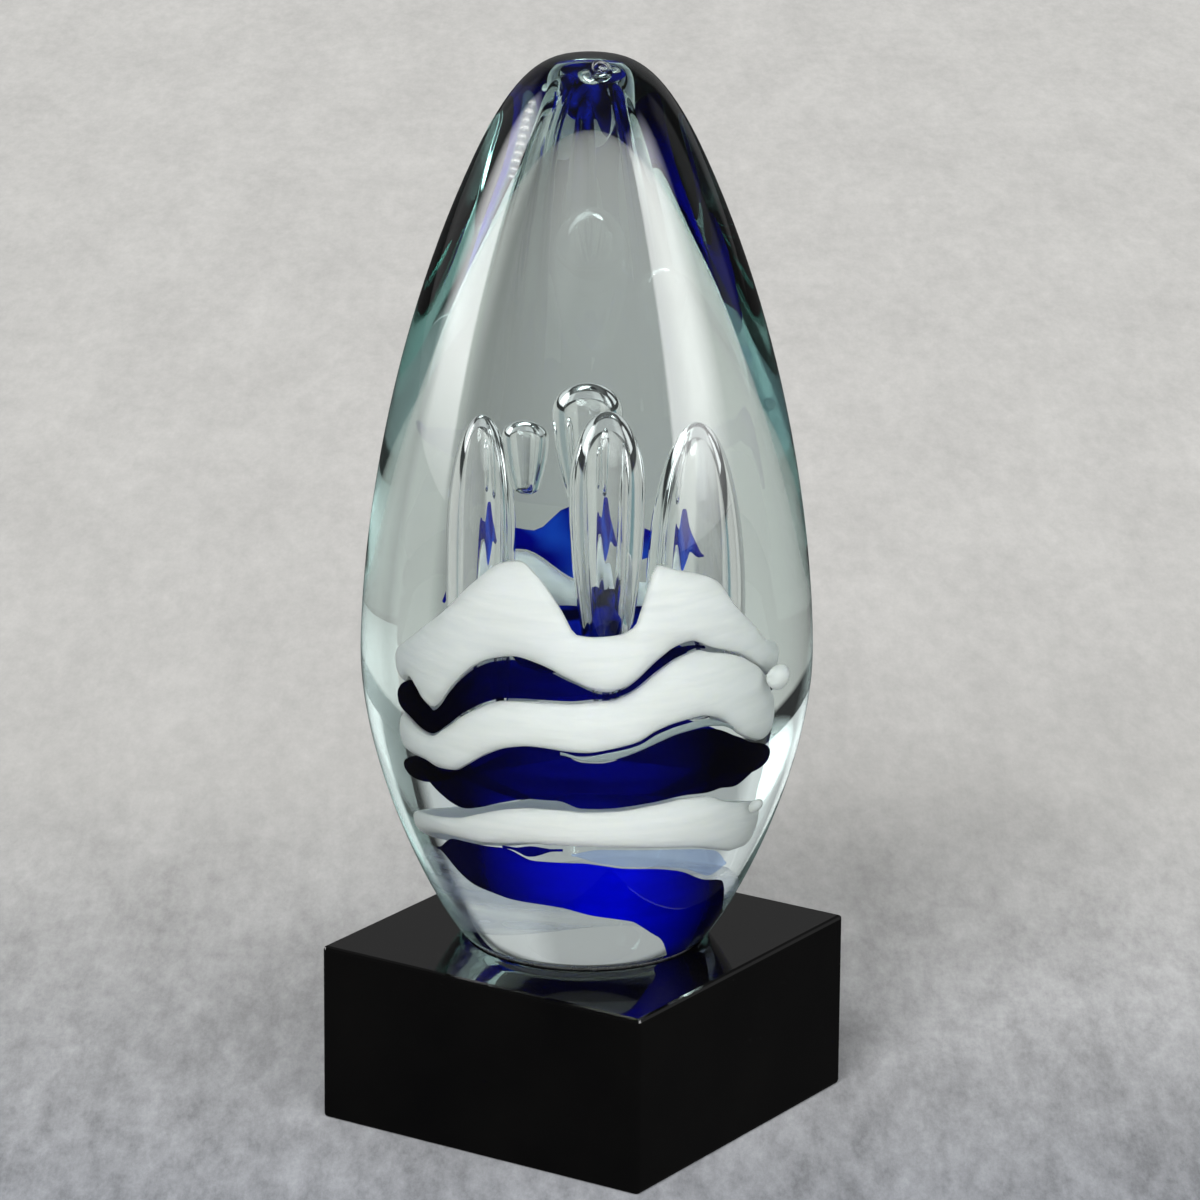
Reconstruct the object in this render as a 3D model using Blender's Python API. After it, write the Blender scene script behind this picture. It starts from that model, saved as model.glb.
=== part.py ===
"""Art glass egg on a black crystal block.

The egg is built as it is made: a clear core carries bands of white and blue
glass in grooves, three finger-shaped and two short round bubbles are pierced
into it from above, and a thick clear casing is gathered over the whole. A
thin adhesive disc bonds the flat foot of the egg to the block.

Units are metres, +Z is up, and the origin is the centre of the block's
underside. Heights of the egg are counted from its flat foot. Bearings are
degrees, anticlockwise seen from above, counted from the egg's front.
"""

from math import atan2, cos, degrees, hypot, pi, radians, sin, sqrt

import bmesh
import bpy
from mathutils import Matrix, Vector

# Block
BLOCK_SIDE = 0.080
BLOCK_HEIGHT = 0.0385
BLOCK_ARRIS = 0.0008
BLOCK_ARRIS_STEPS = 2

# Adhesive between the block and the foot of the egg
ADHESIVE_THICKNESS = 0.0003
ADHESIVE_MARGIN = 0.0008

# Outline of the egg
EGG_HEIGHT = 0.1888
BELLY_RADIUS = 0.0475
BELLY_HEIGHT = 0.0624
BELLY_BEND_RADIUS = 0.0577
FOOT_RADIUS = 0.0256
FOOT_FLARE = radians(45)
FOOT_PULL = 0.0088
SHOULDER_INSET = 0.0236
SHOULDER_DROP = 0.0211
SHOULDER_LEAN = radians(24.6)
SHOULDER_PULL_DOWN = 0.0551
SHOULDER_PULL_UP = 0.0249
TIP_PULL = 0.0067
EGG_SIDES = 48
EGG_LOWER_STEPS = 8
EGG_UPPER_STEPS = 8
EGG_CROWN_STEPS = 5

# Clear core inside the casing
CORE_FOOT_RADIUS = 0.018
CORE_RADIUS = 0.027
CORE_FULL_HEIGHT = 0.080
CORE_SHOULDER = 0.0045
CORE_MARGIN = 0.0012
CORE_SIDE_STEPS = 8
CORE_SHOULDER_STEPS = 3
CORE_SIDES = 36
CASING_CLEARANCE = 0.0003

# Coloured bands, sunk flush into the core
BAND_CLEARANCE = 0.0003
BAND_SEAM = 0.0003
WHITE_DEPTH = 0.0034
BLUE_DEPTH = 0.0028
GROOVE_OVERCUT = 0.0010
BAND_TIP_HEIGHT = 0.0006
BAND_TIP_BEARING = 14.0
BAND_TIP_DEPTH_SHARE = 0.3
BAND_STATION = 8.0
SLOPE_STEP = 4.0
FRONT_BEARING = -56.5

# Height of one unit in the charts of the bubbles and of the bands' edges
CHART_UNIT = 0.001

# Bubbles: bearing and share of its width at the lower end, then in chart units the wall left
# behind the white grooves, the widest radius, the rise above the core, the dome and the pit
BUBBLES = (
    (14.0, 0.2, 4.7, 6.0, 22.2, 16.0, 42.8),
    (89.5, 0.8, 0.8, 7.2, 16.6, 36.0, 42.8),
    (180.5, 0.6, 6.3, 4.2, 21.4, 6.0, 3.0),
    (203.3, 0.6, 2.8, 2.65, 12.6, 3.5, 2.0),
    (286.3, 0.85, 1.5, 5.3, 19.0, 24.0, 42.8),
)
BUBBLE_SIDES = 12
BUBBLE_DOME_STEPS = 4
BUBBLE_TAIL_STEPS = 2

# Edges of the bands: bearing and height in chart units
WHITE_UPPER_TOP = (
    (-90, 66.5), (-76, 70.9), (-63, 75.6), (-47, 83.4), (-35, 88.2),
    (-27, 89.1), (-20, 86.5), (-10, 79.5), (-4, 74.5), (3, 74.1),
    (12, 74.4), (19, 76.0), (25, 85.0), (28, 88.3), (36, 86.9),
    (50, 84.5), (56, 82.8), (66, 76.8), (82, 70.0), (91, 66.5),
    (108, 64.0), (125, 61.5), (140, 64.0), (155, 70.0), (168, 73.5),
    (181, 73.2), (195, 79.5), (205, 77.0), (216, 65.5), (230, 61.5),
    (250, 62.5),
)
WHITE_UPPER_LOW = (
    (-92, 57.9), (-80, 55.2), (-74, 54.5), (-68, 55.7), (-58, 60.7),
    (-47, 65.4), (-38, 67.7), (-28, 68.7), (-18, 67.6), (-6, 64.9),
    (8, 62.3), (16, 63.4), (28, 68.1), (36, 70.6), (43, 71.2),
    (52, 69.3), (70, 66.0), (90, 61.2), (108, 58.0), (125, 56.0),
    (140, 57.0), (155, 63.0), (170, 68.5), (181, 66.7), (190, 70.0),
    (200, 69.0), (214, 60.0), (228, 55.0), (250, 55.5),
)
WHITE_MIDDLE_TOP = (
    (-100, 50.5), (-77, 49.4), (-65, 51.9), (-53, 55.5), (-43, 58.0),
    (-34, 59.6), (-20, 60.2), (-6, 60.3), (3, 60.8), (9, 60.9),
    (16, 62.0), (28, 66.2), (38, 68.7), (46, 69.4), (53, 68.3),
    (62, 67.2), (75, 64.6), (90, 60.6), (105, 55.5), (125, 52.5), (140, 53.0),
    (160, 58.5), (180, 60.0), (200, 58.5), (215, 54.0), (232, 50.5),
)
WHITE_MIDDLE_LOW = (
    (-84, 44.2), (-72, 43.5), (-62, 43.9), (-55, 45.4), (-44, 48.3),
    (-33, 50.4), (-22, 51.2), (0, 50.4), (10, 51.1), (21, 52.2),
    (29, 54.1), (38, 55.1), (49, 55.5), (60, 54.2), (74, 50.3),
    (86, 48.2), (100, 47.0), (125, 46.5), (150, 49.0), (175, 51.5),
    (200, 49.5), (225, 44.5), (250, 44.0),
)
BLUE_MIDDLE_TOP = (
    (-84, 44.0), (-60, 44.2), (-22, 51.2), (-9, 50.2), (-2, 48.8),
    (6, 48.6), (13, 49.2), (21, 50.4), (29, 51.8), (38, 53.0),
    (50, 53.4), (60, 52.5), (70, 50.6), (80, 49.0), (95, 47.0),
    (125, 45.1), (150, 47.6), (175, 50.1), (200, 48.1), (225, 43.1),
    (250, 42.8),
)
BLUE_MIDDLE_LOW = (
    (-86, 41.7), (-78, 39.0), (-66, 36.7), (-60, 36.2), (-50, 37.1),
    (-37, 39.0), (-23, 40.4), (-12, 40.4), (-2, 38.9), (6, 38.8),
    (28, 39.5), (45, 40.2), (58, 39.9), (66, 40.2), (76, 39.8),
    (86, 40.8), (100, 42.7), (130, 40.0), (160, 41.0), (180, 42.0),
    (205, 40.0), (230, 38.0), (250, 39.5),
)
WHITE_LOWER_TOP = (
    (-90, 32.8), (-63, 34.1), (-50, 35.9), (-37, 37.7), (-23, 38.7),
    (-10, 38.7), (0, 38.4), (14, 38.5), (31, 39.4), (45, 40.0),
    (56, 39.6), (70, 37.6), (83, 36.3), (125, 35.0), (180, 36.5),
    (205, 34.5), (250, 32.5),
)
WHITE_LOWER_LOW = (
    (-73, 29.4), (-50, 29.4), (-39, 29.9), (-20, 30.7), (6, 30.4),
    (34, 29.5), (56, 28.3), (70, 27.0), (91, 25.5), (120, 25.5),
    (150, 27.0), (180, 28.0), (205, 26.5), (250, 28.0),
)
BLUE_LOWER_TOP = (
    (-84, 27.0), (-74, 29.0), (-50, 29.0), (-39, 29.2), (-24, 27.0),
    (-2, 27.0), (7, 26.5), (18, 25.6), (35, 24.9), (46, 24.0),
    (53, 23.1), (60, 21.8), (68, 20.6), (86, 19.3), (104, 14.0),
)
BLUE_LOWER_LOW = (
    (-84, 24.5), (-75, 21.8), (-62, 18.9), (-50, 17.8), (-38, 16.9),
    (-22, 16.5), (-12, 16.0), (3, 14.3), (18, 13.1), (26, 12.3),
    (32, 10.8), (39, 8.9), (46, 7.2), (62, 1.0), (90, 1.0),
    (104, 6.0),
)
WHITE_REAR_TOP = (
    (112, 14.0), (135, 22.0), (170, 25.0), (210, 22.0), (245, 26.0),
    (268, 22.5),
)
WHITE_REAR_LOW = (
    (112, 9.0), (135, 8.0), (170, 10.5), (210, 8.0), (245, 14.0),
    (268, 20.0),
)
BLUE_CROWN_TOP = (
    (146, 79.5), (160, 82.0), (168, 84.5), (176, 88.6), (184, 88.6), (192, 83.6),
    (200, 84.6), (208, 82.0),
)
BLUE_CROWN_LOW = ((146, 77.0), (165, 78.4), (172, 76.0), (181, 73.5), (197, 79.5), (208, 78.0))

# Where the open bands start and end
BLUE_CROWN_SPAN = (144, 208)
BLUE_UPPER_SPAN = (104, 408)
BLUE_LOWER_SPAN = (-84, 104)
WHITE_REAR_SPAN = (112, 268)
FULL_TURN = (0, 360)

# Across a band: share of its depth from the core's surface, share of its height
BAND_SECTION = (
    (0.0, 0.1), (0.0, 0.5), (0.0, 0.9), (0.4, 1.0), (1.0, 0.72), (1.0, 0.28), (0.4, 0.0),
)
GROOVE_SECTION = (
    (0.0, 0.0), (0.0, 1.0), (0.4, 1.0), (1.0, 0.72), (1.0, 0.28), (0.4, 0.0),
)
SECTION_RADIUS = 10.0
SECTION_TOLERANCE = 0.001

# Finishes: colour, roughness, metallic
CLEAR_GLASS = ((0.86, 0.92, 0.90), 0.02, 0.0)
WHITE_GLASS = ((0.80, 0.80, 0.77), 0.25, 0.0)
BLUE_GLASS = ((0.01, 0.02, 0.30), 0.10, 0.0)
BLACK_CRYSTAL = ((0.012, 0.012, 0.013), 0.05, 0.0)
CURED_ADHESIVE = ((0.85, 0.88, 0.86), 0.30, 0.0)

SMOOTH_ANGLE = radians(35)
MERGE_DISTANCE = 0.000001
FOOT_LEVEL = BLOCK_HEIGHT + ADHESIVE_THICKNESS

# The core's side ends a margin above the highest crest, under its rounded shoulder
HIGHEST_CREST = max(height for _, height in WHITE_UPPER_TOP + BLUE_CROWN_TOP) * CHART_UNIT
CORE_SIDE_HEIGHT = HIGHEST_CREST + CORE_MARGIN
CORE_HEIGHT = CORE_SIDE_HEIGHT + CORE_SHOULDER


def clear_objects():
    """Remove every object that the open file holds."""
    for item in list(bpy.data.objects):
        bpy.data.objects.remove(item)


def finish(name, look):
    """Make a material from a colour, a roughness and a metallic value."""
    colour, roughness, metallic = look
    material = bpy.data.materials.new(name)
    material.use_nodes = True
    shader = material.node_tree.nodes["Principled BSDF"]
    shader.inputs["Base Color"].default_value = (*colour, 1.0)
    shader.inputs["Roughness"].default_value = roughness
    shader.inputs["Metallic"].default_value = metallic
    return material


def add_object(name, bm, look=None, level=0.0):
    """Turn a bmesh into an object at a height, with its own material."""
    bmesh.ops.recalc_face_normals(bm, faces=bm.faces)
    mesh = bpy.data.meshes.new(name)
    bm.to_mesh(mesh)
    bm.free()
    mesh.shade_smooth()
    mesh.set_sharp_from_angle(angle=SMOOTH_ANGLE)
    item = bpy.data.objects.new(name, mesh)
    item.location.z = level
    bpy.context.scene.collection.objects.link(item)
    if look:
        mesh.materials.append(finish(name, look))
    return item


def cut(item, cutter):
    """Take a cutter's shape out of an object."""
    cutter.hide_render = True
    cutter.display_type = "WIRE"
    modifier = item.modifiers.new(cutter.name, "BOOLEAN")
    modifier.operation = "DIFFERENCE"
    modifier.solver = "MANIFOLD"
    modifier.object = cutter


def turned(profile, sides):
    """Turn a profile of (radius, height) points that starts and ends on the axis."""
    bm = bmesh.new()
    verts = [bm.verts.new((radius, 0.0, height)) for radius, height in profile]
    edges = [bm.edges.new(pair) for pair in zip(verts, verts[1:])]
    bmesh.ops.spin(bm, geom=verts + edges, cent=(0, 0, 0), axis=(0, 0, 1),
                   angle=2 * pi, steps=sides, use_merge=True)
    bmesh.ops.remove_doubles(bm, verts=bm.verts, dist=MERGE_DISTANCE)
    return bm


def bezier(start, first, second, end, share):
    """Point on a cubic curve."""
    rest = 1.0 - share
    return (rest ** 3 * start + 3 * rest ** 2 * share * first
            + 3 * rest * share ** 2 * second + share ** 3 * end)


def stretch(start, first, second, end, steps):
    """Points along a cubic curve, without its last one."""
    return [bezier(start, first, second, end, step / steps) for step in range(steps)]


def egg_outline():
    """Outline of the egg from the edge of its foot to its tip."""
    foot = Vector((FOOT_RADIUS, 0.0))
    belly = Vector((BELLY_RADIUS, BELLY_HEIGHT))
    shoulder = Vector((BELLY_RADIUS - SHOULDER_INSET, EGG_HEIGHT - SHOULDER_DROP))
    tip = Vector((0.0, EGG_HEIGHT))
    flare = Vector((cos(FOOT_FLARE), sin(FOOT_FLARE)))
    lean = Vector((-sin(SHOULDER_LEAN), cos(SHOULDER_LEAN)))
    foot_pull = foot + flare * FOOT_PULL
    shoulder_pull = shoulder - lean * SHOULDER_PULL_DOWN
    bend = 2.0 / 3.0 * BELLY_BEND_RADIUS
    below = belly - Vector((0.0, sqrt(bend * (BELLY_RADIUS - foot_pull.x))))
    above = belly + Vector((0.0, sqrt(bend * (BELLY_RADIUS - shoulder_pull.x))))
    crown_pull = shoulder + lean * SHOULDER_PULL_UP
    tip_pull = tip + Vector((TIP_PULL, 0.0))
    lower = stretch(foot, foot_pull, below, belly, EGG_LOWER_STEPS)
    upper = stretch(belly, above, shoulder_pull, shoulder, EGG_UPPER_STEPS)
    crown = stretch(shoulder, crown_pull, tip_pull, tip, EGG_CROWN_STEPS)
    return [tuple(point) for point in [*lower, *upper, *crown, tip]]


def core_radius(height):
    """Radius of the core's side, which the bands are flush with."""
    climb = min(max(height / CORE_FULL_HEIGHT, 0.0), 1.0)
    return CORE_FOOT_RADIUS + (CORE_RADIUS - CORE_FOOT_RADIUS) * sin(climb * pi / 2)


def core_outline(growth=0.0):
    """Outline of the core from its foot to the centre of its top, grown outwards."""
    points = []
    for step in range(CORE_SIDE_STEPS):
        height = CORE_SIDE_HEIGHT * step / CORE_SIDE_STEPS
        points.append((core_radius(height) + growth, height))
    for step in range(CORE_SHOULDER_STEPS + 1):
        turn = step / CORE_SHOULDER_STEPS * pi / 2
        reach = CORE_SHOULDER + growth
        points.append((CORE_RADIUS - CORE_SHOULDER + reach * cos(turn),
                       CORE_SIDE_HEIGHT + reach * sin(turn)))
    points.append((0.0, CORE_HEIGHT + growth))
    return points


def wave(stations):
    """Smooth closed curve of height against bearing that turns back only at its stations."""
    bearings = [bearing for bearing, _ in stations]
    heights = [height * CHART_UNIT for _, height in stations]
    count = len(stations)
    spans = [(bearings[(i + 1) % count] - bearings[i]) % 360 for i in range(count)]
    slopes = [(heights[(i + 1) % count] - heights[i]) / spans[i] for i in range(count)]
    tangents = []
    for i in range(count):
        before, after = slopes[i - 1], slopes[i]
        level = before * after <= 0
        tangents.append(0.0 if level else 2 * before * after / (before + after))

    def height_at(bearing):
        index = min(range(count), key=lambda i: (bearing - bearings[i]) % 360)
        following = (index + 1) % count
        span = spans[index]
        share = (bearing - bearings[index]) % 360 / span
        pull = span / 3
        return bezier(heights[index], heights[index] + tangents[index] * pull,
                      heights[following] - tangents[following] * pull,
                      heights[following], share)

    return height_at


def seam_above(edge):
    """Edge that runs a seam above another."""
    return lambda bearing: edge(bearing) + BAND_SEAM


def seam_below(edge):
    """Edge that runs a seam below another."""
    return lambda bearing: edge(bearing) - BAND_SEAM


def kept_below(edge, neighbour):
    """Edge that stays a seam below the neighbour's lower edge."""
    limit = seam_below(neighbour)
    return lambda bearing: min(edge(bearing), limit(bearing))


def kept_above(edge, neighbour):
    """Edge that stays a seam above the neighbour's upper edge."""
    limit = seam_above(neighbour)
    return lambda bearing: max(edge(bearing), limit(bearing))


def steepness(edge, bearing):
    """Length along an edge for each unit of turn round the core, at least 1."""
    rise = edge(bearing + SLOPE_STEP) - edge(bearing - SLOPE_STEP)
    return hypot(1.0, rise / (2 * radians(SLOPE_STEP) * CORE_RADIUS))


def tip_share(bearing, span):
    """Share of its full size that an open band has at a bearing: small at its tips."""
    if span == FULL_TURN:
        return 1.0
    reach = min(bearing - span[0], span[1] - bearing) / BAND_TIP_BEARING
    return sin(min(reach, 1.0) * pi / 2)


def band_form(section, edges, depth, span, growth=0.0, overcut=0.0):
    """Sweep a section round the core between two edges."""
    low_edge, top_edge = edges
    steps = round((span[1] - span[0]) / BAND_STATION)
    closed = span == FULL_TURN
    bm = bmesh.new()
    verts = [bm.verts.new((SECTION_RADIUS - inward, 0.0, upward)) for inward, upward in section]
    ring = [bm.edges.new((verts[i - 1], verts[i])) for i in range(len(verts))]
    bmesh.ops.spin(bm, geom=verts + ring, cent=(0, 0, 0), axis=(0, 0, 1),
                   angle=radians(span[1] - span[0]), steps=steps, use_merge=closed)
    if not closed:
        bmesh.ops.holes_fill(bm, edges=[edge for edge in bm.edges if edge.is_boundary])
    for vert in bm.verts:
        inward = SECTION_RADIUS - hypot(vert.co.x, vert.co.y)
        upward = vert.co.z
        bearing = span[0] + degrees(atan2(vert.co.y, vert.co.x)) % 360
        if bearing > span[1] + BAND_STATION / 2:
            bearing = span[0]
        share = tip_share(bearing, span)
        low, top = low_edge(bearing), top_edge(bearing)
        middle = (low + top) / 2
        steep = max(steepness(low_edge, bearing), steepness(top_edge, bearing))
        half = max((top - low) / 2 * share, BAND_TIP_HEIGHT / 2) + growth * steep
        height = middle + (2 * upward - 1) * half
        sink = depth * (BAND_TIP_DEPTH_SHARE + (1 - BAND_TIP_DEPTH_SHARE) * share) + growth
        outward = overcut if inward < SECTION_TOLERANCE else 0.0
        radius = core_radius(height) - inward * sink + outward
        turn = radians(bearing + FRONT_BEARING)
        vert.co = (radius * cos(turn), radius * sin(turn), height)
    return bm


def band_edges():
    """Lower and upper edge of every band, each kept a seam off its neighbour."""
    white_upper = wave(WHITE_UPPER_LOW), wave(WHITE_UPPER_TOP)
    white_middle = wave(WHITE_MIDDLE_LOW), kept_below(wave(WHITE_MIDDLE_TOP), white_upper[0])
    blue_middle = wave(BLUE_MIDDLE_LOW), kept_below(wave(BLUE_MIDDLE_TOP), white_middle[0])
    white_lower = wave(WHITE_LOWER_LOW), kept_below(wave(WHITE_LOWER_TOP), blue_middle[0])
    blue_lower = wave(BLUE_LOWER_LOW), kept_below(wave(BLUE_LOWER_TOP), white_lower[0])
    white_rear = wave(WHITE_REAR_LOW), kept_below(wave(WHITE_REAR_TOP), white_lower[0])
    blue_upper = seam_above(white_middle[1]), seam_below(white_upper[0])
    blue_crown = kept_above(wave(BLUE_CROWN_LOW), white_upper[1]), wave(BLUE_CROWN_TOP)
    return {
        "white_band_upper": (white_upper, FULL_TURN),
        "white_band_middle": (white_middle, FULL_TURN),
        "white_band_lower": (white_lower, FULL_TURN),
        "white_band_rear": (white_rear, WHITE_REAR_SPAN),
        "blue_band_crown": (blue_crown, BLUE_CROWN_SPAN),
        "blue_band_upper": (blue_upper, BLUE_UPPER_SPAN),
        "blue_band_middle": (blue_middle, FULL_TURN),
        "blue_band_lower": (blue_lower, BLUE_LOWER_SPAN),
    }


def make_bands():
    """Coloured bands, and the cutters of the grooves that hold them."""
    cutters = []
    for name, (edges, span) in band_edges().items():
        white = name.startswith("white")
        depth = WHITE_DEPTH if white else BLUE_DEPTH
        look = WHITE_GLASS if white else BLUE_GLASS
        add_object(name, band_form(BAND_SECTION, edges, depth, span), look, FOOT_LEVEL)
        groove = band_form(GROOVE_SECTION, edges, depth, span, BAND_CLEARANCE, GROOVE_OVERCUT)
        cutters.append(add_object(name + "_groove", groove, level=FOOT_LEVEL))
    return cutters


def bubble_outline(tail, radius, rise, dome, pit):
    """Outline of a bubble from its narrow lower end in the core to its domed top."""
    top = CORE_HEIGHT + rise
    widest = top - dome
    bottom = CORE_HEIGHT - pit
    points = [(0.0, bottom)]
    for step in range(BUBBLE_TAIL_STEPS):
        share = step / BUBBLE_TAIL_STEPS
        width = radius * (tail + (1 - tail) * sin(share * pi / 2))
        points.append((width, bottom + (widest - bottom) * share))
    for step in range(BUBBLE_DOME_STEPS):
        turn = step / BUBBLE_DOME_STEPS * pi / 2
        points.append((radius * cos(turn), widest + dome * sin(turn)))
    points.append((0.0, top))
    return points


def make_bubble_cutters():
    """Shapes of the air bubbles, which the core and the casing enclose between them."""
    cutters = []
    bed = CORE_RADIUS - WHITE_DEPTH - BAND_CLEARANCE
    for index, (bearing, tail, *sizes) in enumerate(BUBBLES, start=1):
        wall, radius, rise, dome, pit = [size * CHART_UNIT for size in sizes]
        offset = bed - wall - radius
        bm = turned(bubble_outline(tail, radius, rise, dome, pit), BUBBLE_SIDES)
        turn = Matrix.Rotation(radians(bearing + FRONT_BEARING), 4, "Z")
        bmesh.ops.transform(bm, matrix=turn @ Matrix.Translation((offset, 0.0, 0.0)),
                            verts=bm.verts)
        cutters.append(add_object(f"bubble_{index}", bm, level=FOOT_LEVEL))
    return cutters


def make_casing(bubbles):
    """Outer egg, hollowed from its foot for the core."""
    cavity = list(reversed(core_outline(CASING_CLEARANCE)))
    profile = [*cavity, *egg_outline()]
    casing = add_object("clear_casing", turned(profile, EGG_SIDES), CLEAR_GLASS, FOOT_LEVEL)
    for bubble in bubbles:
        cut(casing, bubble)


def make_core(grooves, bubbles):
    """Clear core with the grooves of the bands and the pits of the bubbles."""
    profile = [(0.0, 0.0), *core_outline()]
    core = add_object("clear_core", turned(profile, CORE_SIDES), CLEAR_GLASS, FOOT_LEVEL)
    for cutter in [*grooves, *bubbles]:
        cut(core, cutter)


def make_adhesive():
    """Thin disc of cured adhesive under the foot."""
    radius = FOOT_RADIUS - ADHESIVE_MARGIN
    profile = [(0.0, 0.0), (radius, 0.0), (radius, ADHESIVE_THICKNESS), (0.0, ADHESIVE_THICKNESS)]
    add_object("adhesive_disc", turned(profile, EGG_SIDES), CURED_ADHESIVE, BLOCK_HEIGHT)


def make_block():
    """Square block with polished arrises."""
    bm = bmesh.new()
    bmesh.ops.create_cube(bm, size=1.0)
    bmesh.ops.scale(bm, vec=(BLOCK_SIDE, BLOCK_SIDE, BLOCK_HEIGHT), verts=bm.verts)
    bmesh.ops.translate(bm, vec=(0.0, 0.0, BLOCK_HEIGHT / 2), verts=bm.verts)
    bmesh.ops.bevel(bm, geom=bm.edges, offset=BLOCK_ARRIS, segments=BLOCK_ARRIS_STEPS,
                    profile=0.5, affect="EDGES", material=-1)
    add_object("base_block", bm, BLACK_CRYSTAL)


def main():
    clear_objects()
    make_block()
    make_adhesive()
    bubbles = make_bubble_cutters()
    grooves = make_bands()
    make_core(grooves, bubbles)
    make_casing(bubbles)


main()
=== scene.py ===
"""Looks of the art glass egg on its black crystal block.

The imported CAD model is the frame. The clear casing and the clear core fuse
into one body of glass that holds the bubbles, as they do in the furnace, and
the coloured bands are swept again, finer, from the same charts as the solids.

Units are metres, +Z is up. Heights of the egg are counted from its flat foot,
bearings are degrees round the egg, anticlockwise from above, from its front.
"""

from math import atan2, cos, degrees, hypot, pi, radians, sin, sqrt

import bmesh
import bpy
from mathutils import Matrix, Quaternion, Vector


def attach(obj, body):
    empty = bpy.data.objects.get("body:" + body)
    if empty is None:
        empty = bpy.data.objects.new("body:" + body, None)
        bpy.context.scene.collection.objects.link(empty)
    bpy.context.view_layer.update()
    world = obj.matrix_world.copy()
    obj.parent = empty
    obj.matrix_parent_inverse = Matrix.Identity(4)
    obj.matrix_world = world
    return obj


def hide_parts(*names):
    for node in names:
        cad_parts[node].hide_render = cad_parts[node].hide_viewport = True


# Block, adhesive and the hair's breadth of air under the foot of the glass
BLOCK_HEIGHT = 0.0385
ADHESIVE_THICKNESS = 0.0003
FOOT_LEVEL = BLOCK_HEIGHT + ADHESIVE_THICKNESS
FOOT_GAP = 0.00008

# Outline of the egg
EGG_HEIGHT = 0.1888
BELLY_RADIUS = 0.0475
BELLY_HEIGHT = 0.0624
BELLY_BEND_RADIUS = 0.0577
FOOT_RADIUS = 0.0256
FOOT_FLARE = radians(45)
FOOT_PULL = 0.0088
FOOT_ARRIS = 0.0004
SHOULDER_INSET = 0.0236
SHOULDER_DROP = 0.0211
SHOULDER_LEAN = radians(24.6)
SHOULDER_PULL_DOWN = 0.0551
SHOULDER_PULL_UP = 0.0249
TIP_PULL = 0.0067
EGG_SIDES = 192
EGG_LOWER_STEPS = 30
EGG_UPPER_STEPS = 34
EGG_CROWN_STEPS = 20

# Core on which the bands lie
CORE_FOOT_RADIUS = 0.018
CORE_RADIUS = 0.027
CORE_FULL_HEIGHT = 0.080
CORE_HEIGHT = 0.0948

# Coloured bands
BAND_SEAM = 0.0003
WHITE_DEPTH = 0.0034
BLUE_DEPTH = 0.0028
BAND_TIP_HEIGHT = 0.0006
BAND_TIP_BEARING = 14.0
BAND_TIP_DEPTH_SHARE = 0.3
BAND_STATION = 2.0
FRONT_BEARING = -56.5
CHART_UNIT = 0.001

# Section of a band: powers under 1 are fuller than an ellipse, and the taper narrows it inward.
# It is spun round at a working radius before it is bent to its place.
SECTION_POINTS = 20
SECTION_RADIUS = 10.0
WHITE_SECTION_POWER = 0.8
BLUE_SECTION_POWER = 1.25
SECTION_HEIGHT_POWER = 0.8
SECTION_TAPER = 0.25
SECTION_TAPER_START = 0.4

# Bubbles: bearing and share of its width at the lower end, then in chart units the wall left
# behind the white grooves, the widest radius, the rise above the core, the dome and the pit
BUBBLES = (
    (14.0, 0.2, 4.7, 6.0, 22.2, 16.0, 42.8),
    (89.5, 0.8, 0.8, 7.2, 16.6, 36.0, 42.8),
    (180.5, 0.6, 6.3, 4.2, 21.4, 6.0, 3.0),
    (203.3, 0.6, 2.8, 2.65, 12.6, 3.5, 2.0),
    (286.3, 0.85, 1.5, 5.3, 19.0, 24.0, 42.8),
)
BUBBLE_BED = 0.0233
BUBBLE_SIDES = 48
BUBBLE_DOME_STEPS = 16
BUBBLE_TAIL_STEPS = 12
BUBBLE_END_STEPS = 5

# Edges of the bands: bearing and height in chart units
WHITE_UPPER_TOP = (
    (-90, 66.5), (-76, 70.9), (-63, 75.6), (-47, 83.4), (-35, 88.2),
    (-27, 89.1), (-20, 86.5), (-10, 79.5), (-4, 74.5), (3, 74.1),
    (12, 74.4), (19, 76.0), (25, 85.0), (28, 88.3), (36, 86.9),
    (50, 84.5), (56, 82.8), (66, 76.8), (82, 70.0), (91, 66.5),
    (108, 64.0), (125, 61.5), (140, 64.0), (155, 70.0), (168, 73.5),
    (181, 73.2), (195, 79.5), (205, 77.0), (216, 65.5), (230, 61.5),
    (250, 62.5),
)
WHITE_UPPER_LOW = (
    (-92, 57.9), (-80, 55.2), (-74, 54.5), (-68, 55.7), (-58, 60.7),
    (-47, 65.4), (-38, 67.7), (-28, 68.7), (-18, 67.6), (-6, 64.9),
    (8, 62.3), (16, 63.4), (28, 68.1), (36, 70.6), (43, 71.2),
    (52, 69.3), (70, 66.0), (90, 61.2), (108, 58.0), (125, 56.0),
    (140, 57.0), (155, 63.0), (170, 68.5), (181, 66.7), (190, 70.0),
    (200, 69.0), (214, 60.0), (228, 55.0), (250, 55.5),
)
WHITE_MIDDLE_TOP = (
    (-100, 50.5), (-77, 49.4), (-65, 51.9), (-53, 55.5), (-43, 58.0),
    (-34, 59.6), (-20, 60.2), (-6, 60.3), (3, 60.8), (9, 60.9),
    (16, 62.0), (28, 66.2), (38, 68.7), (46, 69.4), (53, 68.3),
    (62, 67.2), (75, 64.6), (90, 60.6), (105, 55.5), (125, 52.5), (140, 53.0),
    (160, 58.5), (180, 60.0), (200, 58.5), (215, 54.0), (232, 50.5),
)
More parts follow.
